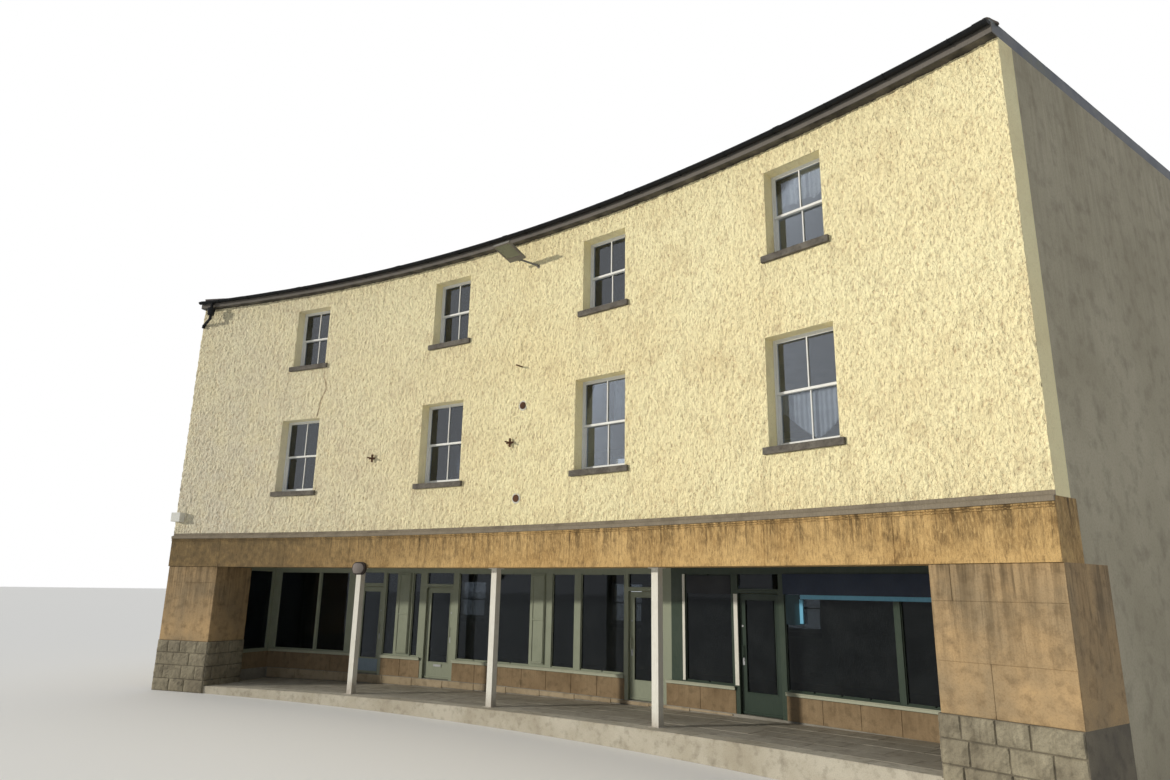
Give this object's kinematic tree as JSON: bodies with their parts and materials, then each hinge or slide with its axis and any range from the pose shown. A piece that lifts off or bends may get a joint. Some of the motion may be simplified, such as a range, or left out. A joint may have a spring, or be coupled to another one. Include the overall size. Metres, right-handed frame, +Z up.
{
  "type": "corner shop building",
  "caption": "Three-storey rendered building with a concave curved front, an open arcade on posts, set-back shopfronts with hinged doors, sash windows and a hipped slate roof.",
  "frame": {"origin": "on the flat underside of the building, on its axis of symmetry in plan, midway between the street face and the rear face", "axes": "+X along the front from left to right as seen from the street, +Y from the street into the building, +Z up"},
  "size_m": [23.1433, 9.7272, 10.7084],
  "materials": {
    "render": "coarse roughcast render, cream",
    "party": "flat cement render",
    "fascia_stone": "sawn ochre stone, weathered",
    "pier_stone": "sawn ochre stone slabs",
    "base_stone": "rock-faced ashlar",
    "paving": "pale concrete flags",
    "slab": "concrete",
    "stall_stone": "beige stone slabs",
    "lead": "dull lead grey",
    "sill": "dark grey painted stone",
    "white_paint": "white gloss paint",
    "sash_wood": "white painted timber",
    "green_wood": "sage green painted timber",
    "dark_wood": "dark green painted timber",
    "plaster": "painted plaster",
    "floor_wood": "timber floor",
    "slate": "dark grey slates",
    "eaves_wood": "dark grey painted board",
    "gutter_black": "black",
    "glass": "clear",
    "sign_paint": "teal and navy painted board",
    "lamp_metal": "dull grey",
    "box_plastic": "white",
    "iron": "rusty iron"
  },
  "bodies": {
    "root": {"ground_floor_slab": "slab", "arcade_floor": "paving", "pier_left": "pier_stone", "pier_right": "pier_stone", "pier_left_base": "base_stone", "pier_right_base": "base_stone", "party_wall_left": "party", "party_wall_right": "party", "front_wall_bay_1": "render", "front_wall_bay_2": "render", "front_wall_bay_3": "render", "front_wall_bay_4": "render", "rear_wall_bay_1": "render", "rear_wall_bay_2": "render", "rear_wall_bay_3": "render", "rear_wall_bay_4": "render", "stone_fascia": "fascia_stone", "fascia_flashing": "lead", "arcade_soffit": "plaster", "arcade_posts": "white_paint", "first_floor": "floor_wood", "second_floor": "floor_wood", "top_ceiling": "plaster", "roof": "slate", "eaves_boards": "eaves_wood", "front_gutter": "gutter_black", "rear_gutter": "gutter_black", "gutter_outlet": "gutter_black", "bulkhead_lamp": "lamp_metal", "front_window_sills": "sill", "front_window_sashes": "sash_wood", "front_window_glass": "glass", "rear_window_sills": "sill", "rear_window_sashes": "sash_wood", "rear_window_glass": "glass", "stallrisers": "stall_stone", "shopfront_head": "green_wood", "shopfront_left": "green_wood", "shopfront_right": "dark_wood", "shop_glass": "glass", "sign_band": "sign_paint", "floodlight": "lamp_metal", "wall_box": "box_plastic", "wall_studs": "iron"},
    "door_1": {"door_1": "green_wood", "door_1_glass": "glass"},
    "door_2": {"door_2": "green_wood", "door_2_glass": "glass"},
    "door_3": {"door_3": "green_wood", "door_3_glass": "glass"},
    "door_4": {"door_4": "dark_wood", "door_4_glass": "glass"}
  },
  "joints": [
    {"name": "door_1_hinge", "type": "hinge", "parent": "root", "child": "door_1", "pos_m": [-5.90533, -2.19543, 0.398], "axis": [0, 0, 1], "range_deg": [0, 90]},
    {"name": "door_2_hinge", "type": "hinge", "parent": "root", "child": "door_2", "pos_m": [-3.89999, -1.89222, 0.398], "axis": [0, 0, 1], "range_deg": [0, 90]},
    {"name": "door_3_hinge", "type": "hinge", "parent": "root", "child": "door_3", "pos_m": [2.26538, -1.73792, 0.398], "axis": [0, 0, -1], "range_deg": [0, 90]},
    {"name": "door_4_hinge", "type": "hinge", "parent": "root", "child": "door_4", "pos_m": [4.66606, -1.9928, 0.398], "axis": [0, 0, -1], "range_deg": [0, 90]}
  ]
}
